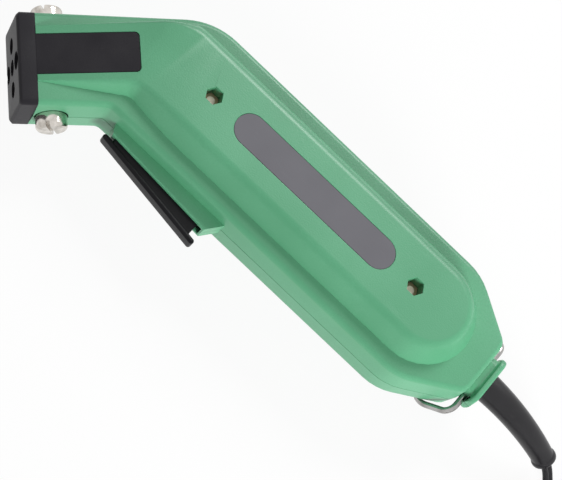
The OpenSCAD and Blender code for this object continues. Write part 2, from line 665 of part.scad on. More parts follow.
// Snap switch with two tabs and its receptacles
tab_w = 4.8;
tab_h = 6.3;
tab_t = 0.8;
tab_x = [switch_x + switch_len / 2, switch_x + switch_len - tab_w];
recept_wall = 0.8;
recept_end = 2;
recept_w = tab_w + 2 * recept_wall;
recept_t = tab_t + 2 * recept_wall;
recept_y = switch_top + fit_gap + tab_h + recept_end;
module switch_body() {
  color(black) rest() difference() {
    box([switch_x, switch_low, -switch_t / 2], [switch_x + switch_len, switch_top, switch_t / 2]);
    for (x = switch_pin_x) rod_z([x, switch_pin_y, -switch_t], switch_pin_d + 2 * fit_gap, 2 * switch_t);
    rod_y([plunger_x, switch_low - over, 0], plunger_d + 2 * run_gap, 2 * plunger_len + over);
  }
}
module switch_plunger() {
  color(cream) rest() rod_y([plunger_x, switch_low - plunger_len, 0], plunger_d, 1.6 * plunger_len);
}
module switch_tabs() {
  color(brass_tone) rest() for (x = tab_x)
    box([x - tab_w / 2, switch_top, -tab_t / 2], [x + tab_w / 2, switch_top + tab_h, tab_t / 2]);
}
module switch_pins() {
  h = 2 * (half_s - 2 * wall);
  color(steel_tone) rest() for (x = switch_pin_x) rod_z([x, switch_pin_y, -h / 2], switch_pin_d - tiny, h);
}
module tab_receptacles() {
  color(nickel) rest() for (x = tab_x) difference() {
    box([x - recept_w / 2, switch_top + fit_gap, -recept_t / 2], [x + recept_w / 2, recept_y, recept_t / 2]);
    box([x - tab_w / 2 - tiny, switch_top - over, -tab_t / 2 - tiny],
      [x + tab_w / 2 + tiny, switch_top + tab_h + tiny, tab_t / 2 + tiny]);
  }
}

// Trigger lever: finger plate, web in the slot, eye on the pin and nub under the plunger
plate_ahead = 23.5;
plate_drop = 7.6;
plate_nose = [-rear_x - plate_ahead, -half_w - plate_drop];
plate_dir = dir(-trigger_deg);
plate_out = left(plate_dir);
plate_round = 1;
plate_v = [plate_nose, plate_nose + plate_dir * trigger_len,
  plate_nose + plate_dir * trigger_len + plate_out * trigger_t, plate_nose + plate_out * trigger_t];
web_front = slot_front + 2 * run_gap;
web_rear = frame_rear.x - 2 * frame_wall;
web_in_front = 4.2;
web_in_rear = 1.2;
function on_plate(x, d) = plate_nose + plate_dir * ((x - plate_nose.x) / plate_dir.x) + plate_out * d;
function web_y(x) = -half_w + web_in_front
  - (web_in_front + web_in_rear) * (x - pivot.x) / (web_rear - pivot.x);
function plate_ring(a, z) = [for (q = soft(plate_v, same(trigger_t / 2 - tiny, plate_v), same(3, plate_v),
  plate_round * (1 - cos(a)))) [q[0].x, q[0].y, z]];
module trigger() {
  nub = plunger_d / 2;
  r = pivot_post_d / 2;
  h = trigger_w / 2 - plate_round;
  color(black) rest() difference() {
    union() {
      loft(concat([for (a = [-90, -60, -30, 0]) plate_ring(a, plate_round * sin(a) - h)],
        [for (a = [0, 30, 60, 90]) plate_ring(a, plate_round * sin(a) + h)]));
      translate([0, 0, -eye_half]) linear_extrude(2 * eye_half) polygon([on_plate(web_front, trigger_t / 2),
        on_plate(web_rear, trigger_t / 2), [web_rear, web_y(web_rear)], [pivot.x + r, web_y(pivot.x + r)],
        [pivot.x + r / 2, pivot.y], [web_front, pivot.y]]);
      rod_z([pivot.x, pivot.y, -eye_half], 2 * r, 2 * eye_half);
      box([plunger_x - nub, web_y(plunger_x) - nub, -nub],
        [plunger_x + nub, switch_low - plunger_len - run_gap, nub]);
    }
    rod_z([pivot.x, pivot.y, -frame_w], trigger_pin_d + 2 * pin_gap, 2 * frame_w);
  }
}
module trigger_pin() {
  h = 2 * (half_s - 2 * wall);
  color(steel_tone) rest() rod_z([pivot.x, pivot.y, -h / 2], trigger_pin_d - tiny, h);
}
spring_r = (spring_d - spring_wire) / 2;
spring_low = web_y(spring_x + spring_r) + run_gap + spring_wire / 2;
spring_high = seat_y - fit_gap - spring_wire / 2;
spring_path = [for (i = [0:spring_turns * 8]) let (a = 45 * i)
  [spring_x + spring_r * cos(a), spring_low + (spring_high - spring_low) * i / spring_turns / 8,
  spring_r * sin(a)]];
module trigger_spring() {
  color(steel_tone) rest() tube(spring_path, same([0, 1, 0], spring_path), spring_wire, 6);
}

// Case screws from the right side, nuts in the left side
screw_slot = 1.2;
module case_screws() {
  low = head_depth - half_t;
  color(steel_tone) rest() for (s = [-1, 1]) difference() {
    union() {
      rod_z([s * rear_x, 0, low], case_d, half_t - nut_depth + nut_h + 2 * run_gap - low);
      rod_z([s * rear_x, 0, low - case_head_h], case_head_d, case_head_h);
    }
    translate([s * rear_x, 0, low - case_head_h])
      cube([2 * case_head_d, screw_slot, case_head_h], center = true);
  }
}
module case_nuts() {
  color(brass_tone) rest() for (s = [-1, 1]) difference() {
    hexagon_z([s * rear_x, 0, half_t - nut_depth], nut_af, nut_h);
    rod_z([s * rear_x, 0, half_t - nut_depth - over], case_d + 2 * tiny, nut_h + 2 * over);
  }
}

// Hanging loop: a wire bow that turns in the neck, folded forward under the tail
loop_fold = asin((half_t - wire_d / 2 - fit_gap) / loop_len);
loop_half = tail_half + loop_beside;
loop_r = 14;
loop_corner = 5;
loop_pin = neck_w / 2 - wall + run_gap;
loop_mid = loop_half - loop_corner;
// One side of the bow in its own plane, from the pin to the middle of its far end
bow_half = concat([[loop_pin, 0], [loop_mid, 0]],
  [for (a = [-60, -30, 0]) [loop_half - loop_corner, loop_corner] + loop_corner * dir(a)],
  [for (a = [0:15:90]) [loop_half - loop_r, loop_len - loop_r] + loop_r * dir(a)]);
bow = concat(bow_half, [for (i = [len(bow_half) - 1:-1:0]) [-bow_half[i].x, bow_half[i].y]]);
loop_path = [for (p = bow) [loop_x - p.y * cos(loop_fold), p.x, -p.y * sin(loop_fold)]];
module hanging_loop() {
  color(nickel) rest() tube(loop_path, same([sin(loop_fold), 0, -cos(loop_fold)], loop_path), wire_d, 12);
}

// Kink sleeve: flange behind the tail wall, neck through the collar, drooping tapered body and end bead
sleeve_sag = 14.2;
sleeve_run = 3;
sleeve_sides = 24;
bead_len = 2.6;
bead_rise = 0.6;
bead_shares = [0.12, 0.3, 0.5, 0.7, 0.88, 1];
bell = sleeve_len - bead_len;
function sag(x) = let (t = max(0, x - sleeve_run) / (sleeve_len - sleeve_run))
  [collar_end + x, 0, -sleeve_sag * t * t];
sleeve_steps = concat([0, sleeve_run], [for (i = [1:9]) sleeve_run + (bell - sleeve_run) * i / 9]);
sleeve_path = concat([for (x = sleeve_steps) sag(x)], [for (q = bead_shares) sag(bell + bead_len * q)]);
sleeve_r = concat([for (x = sleeve_steps) (sleeve_d + (sleeve_end_d - sleeve_d) * x / bell) / 2],
  [for (q = bead_shares) sleeve_end_d / 2 + bead_rise * sqrt(max(0, sin(180 * q)))]);
module cord_sleeve() {
  back = tail_x - wall - draft * sleeve_flange_d / 2 / (half_s - edge_r) - fit_gap;
  heel = [back - sleeve_flange_t, 0, 0];
  outer = concat([heel, [back, 0, 0], [back, 0, 0], [collar_end, 0, 0]], sleeve_path);
  outer_r = concat(same(sleeve_flange_d / 2, [0, 1]), same(sleeve_neck_d / 2, [0, 1]), sleeve_r);
  inner = concat([heel], sleeve_path);
  inner_r = same(sleeve_bore / 2, inner);
  color(rubber_tone) rest() loft(concat(carried(outer, same([0, 1, 0], outer), outer_r, outer_r, sleeve_sides),
    reversed(carried(inner, same([0, 1, 0], inner), inner_r, inner_r, sleeve_sides))), hollow = true);
}
clamp_head_h = 2;
module cord_clamp() {
  color(black) rest() difference() {
    box([clamp_x, -clamp_w / 2, clamp_z], [clamp_x + clamp_len, clamp_w / 2, clamp_z + clamp_h]);
    for (s = [-1, 1]) rod_z([clamp_x + clamp_len / 2, s * clamp_screw_y, 0],
      clamp_screw_d + 2 * fit_gap, 2 * clamp_h);
  }
}
module cord_clamp_screws() {
  color(steel_tone) rest() for (s = [-1, 1]) translate([clamp_x + clamp_len / 2, s * clamp_screw_y, 0]) {
    rod_z([0, 0, -clamp_z - clamp_h], clamp_screw_d - tiny, 2 * clamp_z + 2 * clamp_h + tiny);
    rod_z([0, 0, clamp_z + clamp_h], 2 * clamp_screw_d, clamp_head_h);
  }
}

// Leads inside the case, laid by hand between the cord's end, the switch and the primary
lead_d = 2.2;
cord_in = 2;
cord_start = clamp_x - cord_in;
lead_off = cord_w / 4 + 2 * fit_gap;
wind_end = [core_c.x + wind_x + wind_t + fit_gap, core_c.y + wind_y - lead_d / 2 - 2 * fit_gap];
wind_front = core_c.x - wind_x - wind_t - fit_gap;
live_tail = [[-9, -5, 0], [-16, -10, 0], [-26, -15, 0]];
live_core = [[35, -25, 0], [13, -26.5, 0], [-7, -26.5, 0], [-21, -26.2, 0], [-30, -23, 0], [-33, -15, 0],
  [-35.5, -6, 0], [-40, 1.5, 0], [-45.5, 2.5, 0]];
neutral_tail = [[-9, 5, 0], [-16, 10, 1], [-24, 13, 4]];
neutral_core = [[43, 11, 10], [33, 10.8, 14], [25, 10.8, 14.5]];
switch_core = [[-53, 5, 0], [-45, 10, 1], [-37, 12, 6], [-31, 11.5, 12], [-23, 10.8, 14.5]];
function from_tail(p) = [for (q = p) q + [cord_start, 0, 0]];
function from_core(p) = [for (q = p) q + [core_c.x, core_c.y, 0]];
lead_up = 14.5;
live_route = concat([[cord_start - fit_gap, -lead_off, 0], [cord_start - 2 * cord_in, -lead_off, 0]],
  from_tail(live_tail),
  from_core(live_core), [[tab_x[1], recept_y + 2 * cord_in, 0], [tab_x[1], recept_y + fit_gap, 0]]);
neutral_route = concat([[cord_start - fit_gap, lead_off, 0], [cord_start - 2 * cord_in, lead_off, 0]],
  from_tail(neutral_tail), from_core(neutral_core), [[wind_end.x, wind_end.y, lead_up]]);
switch_route = concat([[tab_x[0], recept_y + fit_gap, 0], [tab_x[0], recept_y + 2 * cord_in, 0]],
  from_core(switch_core),
  [[wind_front, wind_end.y, lead_up]]);
module lead(route) {
  p = eased(route, 3);
  tube(p, same([0.1, 0, 1], p), lead_d, 8);
}
module live_lead() { color("saddlebrown") rest() lead(live_route); }
module neutral_lead() { color("steelblue") rest() lead(neutral_route); }
module switch_lead() { color("saddlebrown") rest() lead(switch_route); }

// Coil of the cord's unseen length: it spirals in, climbs a layer in half a turn and spirals out again
coil_c = [226, -50];
coil_deg = 84;
loop_gap = 0.6;
tie_w = 8;
tie_t = 0.8;
coil_pitch = cord_t + loop_gap;
layer_h = cord_w + loop_gap;
coil_z = cord_w / 2 + tie_t + 2 * fit_gap - half_t;
coil_first = 24 * coil_turns;
coil_in_r = coil_r - coil_turns * coil_pitch;
function coil_radius(i) = i <= coil_first ? coil_r - coil_pitch * i / 24
  : i <= coil_first + 12 ? coil_in_r - cord_t * sin(15 * (i - coil_first))
  : coil_in_r + coil_pitch * (i - coil_first - 12) / 24;
function coil_at(i) = let (a = coil_deg - 15 * i, t = max(0, min(1, (i - coil_first) / 12)))
  concat(coil_c + coil_radius(i) * dir(a), coil_z + layer_h * step(t));
function coil_dir(i) = let (a = coil_deg - 15 * i) [sin(a), -cos(a), 0];
coil_last = 2 * coil_first + 12;
coil_start = coil_at(0) - 2 * cord_w * coil_dir(0);
// Plug on the table beside the coil
plug_len = 40;
plug_w = 35;
plug_t = 13.7;
plug_r = 6;
plug_front = 18;
plug_waist_w = 16;
plug_waist_t = 11;
plug_grip = 6;
plug_grip_w = 9;
plug_grip_t = 8;
plug_pin_d = 4;
plug_pin_len = 19;
plug_pitch = 19;
tail_run = 38;
tail_hold = 14;
plug_z = plug_t / 2 + fit_gap - half_t;
tail_shares = [0.4, 0.55, 0.7, 0.84, 1];
plug_at = let (e = coil_at(coil_last) + (tail_run + fit_gap) * coil_dir(coil_last)) [e.x, e.y, plug_z];
function tail_at(q) = let (e = coil_at(coil_last), s = tail_run * q,
    t = step(max(0, min(1, (s - tail_hold) / (tail_run - tail_hold - cord_w)))))
  [e.x, e.y, e.z + (plug_z - e.z) * t] + s * coil_dir(coil_last);
coil_path = concat([coil_start, coil_at(0) - cord_w * coil_dir(0)], [for (i = [0:coil_last]) coil_at(i)],
  [for (q = [cord_w / tail_run, tail_hold / tail_run]) tail_at(q)], [for (q = tail_shares) tail_at(q)]);
coil_rings = carried(coil_path, same([0, 0, 1], coil_path), same(cord_w / 2, coil_path),
  same(cord_t / 2 / cos(30), coil_path), 6, 0);
// Least distance between points of rings that are more than half a loop apart
function least_gap(r, p) = min([for (i = [0:len(p) - 14]) for (j = [i + 13:len(p) - 1])
  if (norm(p[i] - p[j]) < 2 * cord_w) min([for (a = r[i]) for (b = r[j]) norm(a - b)])]);
module cord_coil() {
  echo(least_gap_of_coil = least_gap(coil_rings, coil_path));
  color(rubber_tone) rest() loft(coil_rings);
}
// Tie round the bundle, opposite the climb
tie_slack = 1.6;
module cord_tie() {
  r0 = coil_in_r + coil_pitch / 4 - cord_t / 2 - tie_slack;
  r1 = coil_r - coil_pitch * 3 / 4 + cord_t / 2 + fit_gap;
  z0 = coil_z - cord_w / 2 - fit_gap;
  z1 = coil_z + layer_h + cord_w / 2 + fit_gap;
  color(black) rest() translate([coil_c.x, coil_c.y, 0]) rotate([0, 0, coil_deg - 270]) difference() {
    box([r0 - tie_t, -tie_w / 2, z0 - tie_t], [r1 + tie_t, tie_w / 2, z1 + tie_t]);
    box([r0, -tie_w, z0], [r1, tie_w, z1]);
  }
}
module at_plug() { rest() translate(plug_at) rotate([0, 0, coil_deg - 15 * coil_last - 90]) children(); }
module plug_body() {
  color(black) at_plug() difference() {
    union() {
      hull() {
        bar_x(plug_len - plug_front, plug_len, plug_w, plug_t, plug_r, $fn = 32);
        bar_x(plug_grip, plug_len, plug_waist_w, plug_waist_t, plug_r / 2, $fn = 32);
      }
      bar_x(0, plug_grip + tiny, plug_grip_w, plug_grip_t, plug_r / 2);
    }
    for (s = [-1, 1]) rod_x([plug_len - plug_grip, s * plug_pitch / 2, 0], plug_pin_d, plug_grip + over);
  }
}
module plug_pins() {
  color(brass_tone) at_plug() for (s = [-1, 1])
    rod_x([plug_len - plug_grip, s * plug_pitch / 2, 0], plug_pin_d, plug_grip + plug_pin_len);
}

// Flat twin cord from the clamp through the sleeve to the table and on to the coil
cord_runs = [0, 5, 11, 17, 23, 29, 35, 41];
cord_way = [[166.5, -1.4, -17.9], [171, -4.4, -20.9], [176, -7.6, -22.6], [182, -10, -23.3], [190, -10.8, -23.3],
  [198, -9.2, -22.7], [206, -6.8, -21.8]];
cord_twist = [0, 0, 0, 0, 0, 30, 62];
cord_path = concat([[cord_start, 0, 0], [cord_start + clamp_len, 0, 0], [tail_x, 0, 0]],
  [for (x = cord_runs) sag(x)], [sag(sleeve_len)], cord_way, [coil_start - cord_w * coil_dir(0), coil_start]);
cord_wide = [for (i = [0:len(cord_path) - 1]) let (k = i - len(cord_path) + len(cord_way) + 2,
  a = k < 0 ? 0 : k < len(cord_way) ? cord_twist[k] : 90) [0, cos(a), sin(a)]];
module cord() {
  f = 2 * cos(22.5);
  color(rubber_tone) rest()
    loft(carried(cord_path, cord_wide, same(cord_w / f, cord_path), same(cord_t / f, cord_path), 8));
}

left_shell();
right_shell();
nose_cap();
label_plate();
rating_plate();
clamp_screw_top();
clamp_screw_bottom();
terminal_top();
terminal_bottom();
terminal_spacer();
copper_bar_top();
copper_bar_bottom();
core();
core_frame();
bobbin();
primary_winding();
secondary_strip();
switch_body();
switch_plunger();
switch_tabs();
switch_pins();
tab_receptacles();
trigger();
trigger_pin();
trigger_spring();
case_screws();
case_nuts();
hanging_loop();
cord_sleeve();
cord_clamp();
cord_clamp_screws();
live_lead();
neutral_lead();
switch_lead();
cord();
cord_coil();
cord_tie();
plug_body();
plug_pins();
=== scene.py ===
import bpy
import bmesh
import json
import math
from mathutils import Matrix, Vector


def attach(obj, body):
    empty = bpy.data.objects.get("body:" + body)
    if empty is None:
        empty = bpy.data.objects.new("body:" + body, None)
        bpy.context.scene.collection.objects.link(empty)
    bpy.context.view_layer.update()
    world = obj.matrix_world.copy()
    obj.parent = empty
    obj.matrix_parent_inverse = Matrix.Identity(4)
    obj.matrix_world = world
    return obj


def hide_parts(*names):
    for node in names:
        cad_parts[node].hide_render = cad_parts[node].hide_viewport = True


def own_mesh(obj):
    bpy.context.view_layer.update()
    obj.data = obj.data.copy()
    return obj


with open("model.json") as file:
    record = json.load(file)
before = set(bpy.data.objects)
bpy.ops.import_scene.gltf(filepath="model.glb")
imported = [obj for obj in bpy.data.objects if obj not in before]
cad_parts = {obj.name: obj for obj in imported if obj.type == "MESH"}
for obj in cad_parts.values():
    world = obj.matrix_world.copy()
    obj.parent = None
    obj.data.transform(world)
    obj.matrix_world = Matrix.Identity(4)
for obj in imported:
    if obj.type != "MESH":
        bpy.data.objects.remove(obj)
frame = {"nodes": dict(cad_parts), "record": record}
nodes = frame["nodes"]
scene = bpy.context.scene
scene.view_settings.view_transform = "Standard"
mmPerMetre = 1000
caseMiddle = 25.0  # height of the parting plane, in mm


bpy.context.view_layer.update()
print("frame loaded,", len(nodes), "nodes")

# Camera, set from the case screws, the cap and the tail in the picture; lens and sensor in mm
cameraSet = {
    "place": (-0.030394, -0.342137, 0.773063),
    "right": (0.725185, 0.618492, 0.302612),
    "up": (-0.687233, 0.677353, 0.262495),
    "back": (-0.042624, -0.398322, 0.916255),
    "lens": 118.505,
    "sensor": 36,
    "nearest": 0.01,
}
bpy.ops.object.camera_add()
camera = bpy.context.object
cameraTurn = Matrix((cameraSet["right"], cameraSet["up"], cameraSet["back"])).transposed().to_4x4()
camera.matrix_world = Matrix.Translation(cameraSet["place"]) @ cameraTurn
camera.data.sensor_fit = "HORIZONTAL"
camera.data.sensor_width = cameraSet["sensor"]
camera.data.lens = cameraSet["lens"]
camera.data.clip_start = cameraSet["nearest"]
scene.camera = camera
print("camera set")


# Shader helpers: sums on a Wire add Math nodes, and a Finish is one material
class Wire:
    def __init__(self, tree, socket):
        self.tree = tree
        self.socket = socket

    def calc(self, operation, *terms):
        node = self.tree.nodes.new("ShaderNodeMath")
        node.operation = operation
        for entry, term in zip(node.inputs, terms):
            if isinstance(term, Wire):
                self.tree.links.new(term.socket, entry)
            else:
                entry.default_value = term
        return Wire(self.tree, node.outputs[0])

    def __add__(self, other):
        return self.calc("ADD", self, other)

    def __radd__(self, other):
        return self.calc("ADD", other, self)

    def __sub__(self, other):
        return self.calc("SUBTRACT", self, other)

    def __rsub__(self, other):
        return self.calc("SUBTRACT", other, self)

    def __mul__(self, other):
        return self.calc("MULTIPLY", self, other)

    def __rmul__(self, other):
        return self.calc("MULTIPLY", other, self)


class Finish:
    def __init__(self, name):
        self.material = bpy.data.materials.new(name)
        self.material.use_nodes = True
        self.tree = self.material.node_tree
        self.tree.nodes.clear()
        self.shader = self.tree.nodes.new("ShaderNodeBsdfPrincipled")
        end = self.tree.nodes.new("ShaderNodeOutputMaterial")
        self.tree.links.new(self.shader.outputs[0], end.inputs[0])
        self.place = self.make("TexCoord", out="Object")

    def make(self, kind, settings=None, sockets=None, out=0):
        node = self.tree.nodes.new("ShaderNode" + kind)
        for key, value in (settings or {}).items():
            if key == "stops":  # two stops of grey, as a new ramp has
                for stop, (at, grey) in zip(node.color_ramp.elements, value):
                    stop.position = at
                    stop.color = (grey, grey, grey, 1)
            else:
                setattr(node, key, value)
        for key, value in (sockets or {}).items():
            self.feed(node.inputs[key], value)
        return Wire(self.tree, node.outputs[out])

    def feed(self, entry, value):
        if isinstance(value, Wire):
            self.tree.links.new(value.socket, entry)
        elif entry.type == "RGBA":
            entry.default_value = (*value, 1)
        else:
            entry.default_value = value

    def put(self, **values):
        for key, value in values.items():
            self.feed(self.shader.inputs[key.replace("_", " ")], value)

    def noise(self, scale, detail, roughness=0.5, stretch=None):
        where = self.place
        if stretch:
            where = self.make("Mapping", {}, {"Vector": self.place, "Scale": stretch})
        sockets = {"Vector": where, "Scale": scale, "Detail": detail, "Roughness": roughness}
        return self.make("TexNoise", {}, sockets, "Fac")

    def ramp(self, wire, stops):
        return self.make("ValToRGB", {"stops": stops}, {"Fac": wire}, "Color")

    def mix(self, factor, first, second):
        return self.make("Mix", {"data_type": "RGBA"}, {0: factor, 6: first, 7: second}, 2)

    def bump(self, height, depth):
        sockets = {"Strength": 1.0, "Distance": depth, "Height": height}
        return self.make("Bump", {}, sockets, "Normal")


# What all moulded and all metal finishes share; a noise swings about noiseMiddle
noiseMiddle = 0.5
mouldedShared = {
    "patchDetail": 2, "patchStops": ((0.3, 0), (0.7, 1)),
    "grainDetail": 2, "grainNoise": 0.6, "grainStops": ((0.35, 1), (0.6, 0)),
    "scuffDetail": 6, "scuffNoise": 0.65, "scuffStops": ((0.6, 0), (0.78, 1)), "scuffRough": 0.08,
    "seamStops": ((0.55, 0.75), (1.0, 0)),
}
metalShared = {
    "cloudDetail": 3, "cloudStops": ((0.35, 0), (0.7, 1)),
    "lineDetail": 2, "lineNoise": 0.6, "lineRough": 0.08,
}


def mouldedFinish(name, spec):
    s = mouldedShared
    finish = Finish(name)
    patches = finish.noise(spec["patchScale"], s["patchDetail"])
    grain = finish.noise(spec["grainScale"], s["grainDetail"], s["grainNoise"])
    rubbed = finish.noise(spec["scuffScale"], s["scuffDetail"], s["scuffNoise"], spec["scuffStretch"])
    scuffs = finish.ramp(rubbed, s["scuffStops"])
    shade = finish.mix(finish.ramp(patches, s["patchStops"]), spec["shade"], spec["tone"])
    shade = finish.mix(scuffs * spec["scuff"], shade, spec["scuffTone"])
    pits = finish.ramp(grain, s["grainStops"]) * spec["grainTint"]
    shade = finish.mix(pits, shade, spec["shade"])
    if "seam" in spec:  # thin dark line where the two halves meet
        height = finish.make("SeparateXYZ", {}, {"Vector": finish.place}, "Z")
        offset = height.calc("ABSOLUTE", height - spec["seamHeight"], 0)
        line = finish.ramp(offset * (1 / spec["seam"]), s["seamStops"])
        shade = finish.mix(line, shade, spec["seamTone"])
    rough = spec["rough"] + (patches - noiseMiddle) * spec["roughSwing"] + scuffs * s["scuffRough"]
    finish.put(Base_Color=shade, Roughness=rough, Normal=finish.bump(grain, spec["grainDepth"]))
    finish.put(Specular_IOR_Level=spec["specular"])
    return finish.material


def metalFinish(name, spec):
    s = metalShared
    finish = Finish(name)
    cloud = finish.noise(spec["cloudScale"], s["cloudDetail"])
    lines = finish.noise(spec["lineScale"], s["lineDetail"], s["lineNoise"], spec["lineStretch"])
    shade = finish.mix(finish.ramp(cloud, s["cloudStops"]), spec["tone"], spec["dull"])
    rough = spec["rough"] + (cloud - noiseMiddle) * spec["roughSwing"]
    rough = rough + (lines - noiseMiddle) * s["lineRough"]
    finish.put(Base_Color=shade, Roughness=rough, Normal=finish.bump(lines, spec["lineDepth"]))
    finish.put(Metallic=1.0)
    return finish.material


# Scales are per metre, depths and the seam in metres
finishSet = {
    "shellGreen": dict(
        tone=(0.112, 0.374, 0.208), shade=(0.084, 0.318, 0.168), patchScale=22,
        grainScale=1500, grainDepth=0.00007, grainTint=0.5, rough=0.40, roughSwing=0.10, specular=0.5,
        scuffScale=60, scuffStretch=(1, 3, 1), scuff=0.10, scuffTone=(0.30, 0.56, 0.42),
        seam=0.00032, seamHeight=caseMiddle / mmPerMetre, seamTone=(0.022, 0.090, 0.048)),
    "capBlack": dict(
        tone=(0.019, 0.018, 0.021), shade=(0.010, 0.009, 0.012), patchScale=60,
        grainScale=1800, grainDepth=0.00005, grainTint=0.4, rough=0.46, roughSwing=0.12, specular=0.2,
        scuffScale=180, scuffStretch=(1, 1, 3), scuff=0.2, scuffTone=(0.06, 0.06, 0.063)),
    "plateGrey": dict(
        tone=(0.138, 0.136, 0.152), shade=(0.120, 0.118, 0.133), patchScale=45,
        grainScale=4200, grainDepth=0.00001, grainTint=0.2, rough=0.5, roughSwing=0.08, specular=0.3,
        scuffScale=150, scuffStretch=(1, 6, 1), scuff=0.12, scuffTone=(0.27, 0.27, 0.29)),
    "triggerBlack": dict(
        tone=(0.007, 0.007, 0.008), shade=(0.004, 0.004, 0.005), patchScale=70,
        grainScale=2600, grainDepth=0.00002, grainTint=0.2, rough=0.36, roughSwing=0.14, specular=0.13,
        scuffScale=220, scuffStretch=(1, 3, 1), scuff=0.12, scuffTone=(0.03, 0.03, 0.032)),
    "blackPlastic": dict(
        tone=(0.024, 0.024, 0.026), shade=(0.018, 0.018, 0.020), patchScale=60,
        grainScale=2400, grainDepth=0.00003, grainTint=0.3, rough=0.45, roughSwing=0.12, specular=0.5,
        scuffScale=150, scuffStretch=(1, 2, 1), scuff=0.2, scuffTone=(0.06, 0.06, 0.062)),
    "sleeveRubber": dict(
        tone=(0.013, 0.0125, 0.014), shade=(0.008, 0.0075, 0.009), patchScale=80,
        grainScale=1800, grainDepth=0.00004, grainTint=0.4, rough=0.3, roughSwing=0.12, specular=0.4,
        scuffScale=120, scuffStretch=(1, 2, 2), scuff=0.2, scuffTone=(0.04, 0.04, 0.042)),
    "cordVinyl": dict(
        tone=(0.014, 0.013, 0.015), shade=(0.008, 0.008, 0.009), patchScale=90,
        grainScale=2000, grainDepth=0.00003, grainTint=0.3, rough=0.36, roughSwing=0.14, specular=0.28,
        scuffScale=160, scuffStretch=(1, 1, 2), scuff=0.25, scuffTone=(0.07, 0.07, 0.073)),
    "insulatorCream": dict(
        tone=(0.68, 0.60, 0.42), shade=(0.60, 0.52, 0.35), patchScale=60,
        grainScale=2000, grainDepth=0.00003, grainTint=0.2, rough=0.5, roughSwing=0.1, specular=0.45,
        scuffScale=140, scuffStretch=(1, 2, 1), scuff=0.15, scuffTone=(0.45, 0.38, 0.25)),
    "leadBrown": dict(
        tone=(0.13, 0.05, 0.022), shade=(0.10, 0.038, 0.016), patchScale=90,
        grainScale=2400, grainDepth=0.00002, grainTint=0.2, rough=0.4, roughSwing=0.1, specular=0.5,
        scuffScale=200, scuffStretch=(1, 1, 1), scuff=0.15, scuffTone=(0.2, 0.09, 0.05)),
    "leadBlue": dict(
        tone=(0.03, 0.12, 0.33), shade=(0.022, 0.095, 0.27), patchScale=90,
        grainScale=2400, grainDepth=0.00002, grainTint=0.2, rough=0.4, roughSwing=0.1, specular=0.5,
        scuffScale=200, scuffStretch=(1, 1, 1), scuff=0.15, scuffTone=(0.08, 0.2, 0.4)),
}
metalSet = {
    "screwNickel": dict(
        tone=(0.72, 0.68, 0.63), dull=(0.40, 0.37, 0.33), cloudScale=240, rough=0.14, roughSwing=0.12,
        lineScale=900, lineStretch=(1, 1, 6), lineDepth=0.00001),
    "loopNickel": dict(
        tone=(0.46, 0.45, 0.44), dull=(0.28, 0.27, 0.26), cloudScale=160, rough=0.2, roughSwing=0.12,
        lineScale=1200, lineStretch=(4, 1, 4), lineDepth=0.000006),
    "brass": dict(
        tone=(0.46, 0.36, 0.23), dull=(0.30, 0.23, 0.14), cloudScale=180, rough=0.46, roughSwing=0.16,
        lineScale=900, lineStretch=(1, 1, 5), lineDepth=0.00001),
    "copper": dict(
        tone=(0.52, 0.20, 0.09), dull=(0.36, 0.13, 0.06), cloudScale=120, rough=0.34, roughSwing=0.18,
        lineScale=1100, lineStretch=(1, 6, 1), lineDepth=0.00001),
    "coreSteel": dict(
        tone=(0.30, 0.31, 0.33), dull=(0.18, 0.18, 0.20), cloudScale=110, rough=0.42, roughSwing=0.2,
        lineScale=900, lineStretch=(0.2, 0.2, 3), lineDepth=0.00006),
    "brightSteel": dict(
        tone=(0.92, 0.80, 0.68), dull=(0.66, 0.57, 0.48), cloudScale=420, rough=0.52, roughSwing=0.16,
        lineScale=1000, lineStretch=(1, 1, 5), lineDepth=0.00001),
}
finishes = {name: mouldedFinish(name, spec) for name, spec in finishSet.items()}
finishes.update({name: metalFinish(name, spec) for name, spec in metalSet.items()})
slotFinish = {
    "shell_green": "shellGreen", "cap_black": "capBlack", "plate_grey": "plateGrey",
    "screw_nickel": "screwNickel", "loop_nickel": "loopNickel", "brass": "brass", "copper": "copper",
    "insulator_cream": "insulatorCream", "core_steel": "coreSteel", "bright_steel": "brightSteel",
    "black_plastic": "blackPlastic", "trigger_black": "triggerBlack", "sleeve_rubber": "sleeveRubber",
    "cord_black": "cordVinyl", "lead_brown": "leadBrown", "lead_blue": "leadBlue",
}
nodeSlot = {sub["node"]: sub["material_slot"] for sub in frame["record"]["subparts"]}
for name, node in nodes.items():
    node.data.materials.clear()
    node.data.materials.append(finishes[slotFinish[nodeSlot[name]]])
print("finishes made,", len(finishes))

# Mesh helpers; a copy of a CAD node has its loose triangles merged, gap in m, and its flats joined
copySet = {"mergeGap": 0.000004, "flatDeg": 0.03}


def objectMode():
    if bpy.context.mode != "OBJECT":
        bpy.ops.object.mode_set(mode="OBJECT")


def nothingPicked():
    objectMode()
    bpy.ops.object.select_all(action="DESELECT")


def pick(piece):
    nothingPicked()
    piece.select_set(True)
    bpy.context.view_layer.objects.active = piece


def settle(piece, body, replaced):
    slot = nodeSlot[replaced[0]]
    piece.data.materials.clear()
    piece.data.materials.append(finishes[slotFinish[slot]])
    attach(piece, body)
    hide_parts(*replaced)


def mergedCopy(nodeName, pieceName):
    piece = bpy.data.objects.new(pieceName, nodes[nodeName].data.copy())
    scene.collection.objects.link(piece)
    pick(piece)
    if piece.data.has_custom_normals:
        bpy.ops.mesh.customdata_custom_splitnormals_clear()
    bpy.ops.object.mode_set(mode="EDIT")
    bpy.ops.mesh.select_all(action="SELECT")
    bpy.ops.mesh.remove_doubles(threshold=copySet["mergeGap"])
    bpy.ops.mesh.dissolve_limited(angle_limit=math.radians(copySet["flatDeg"]))
    objectMode()
    return piece


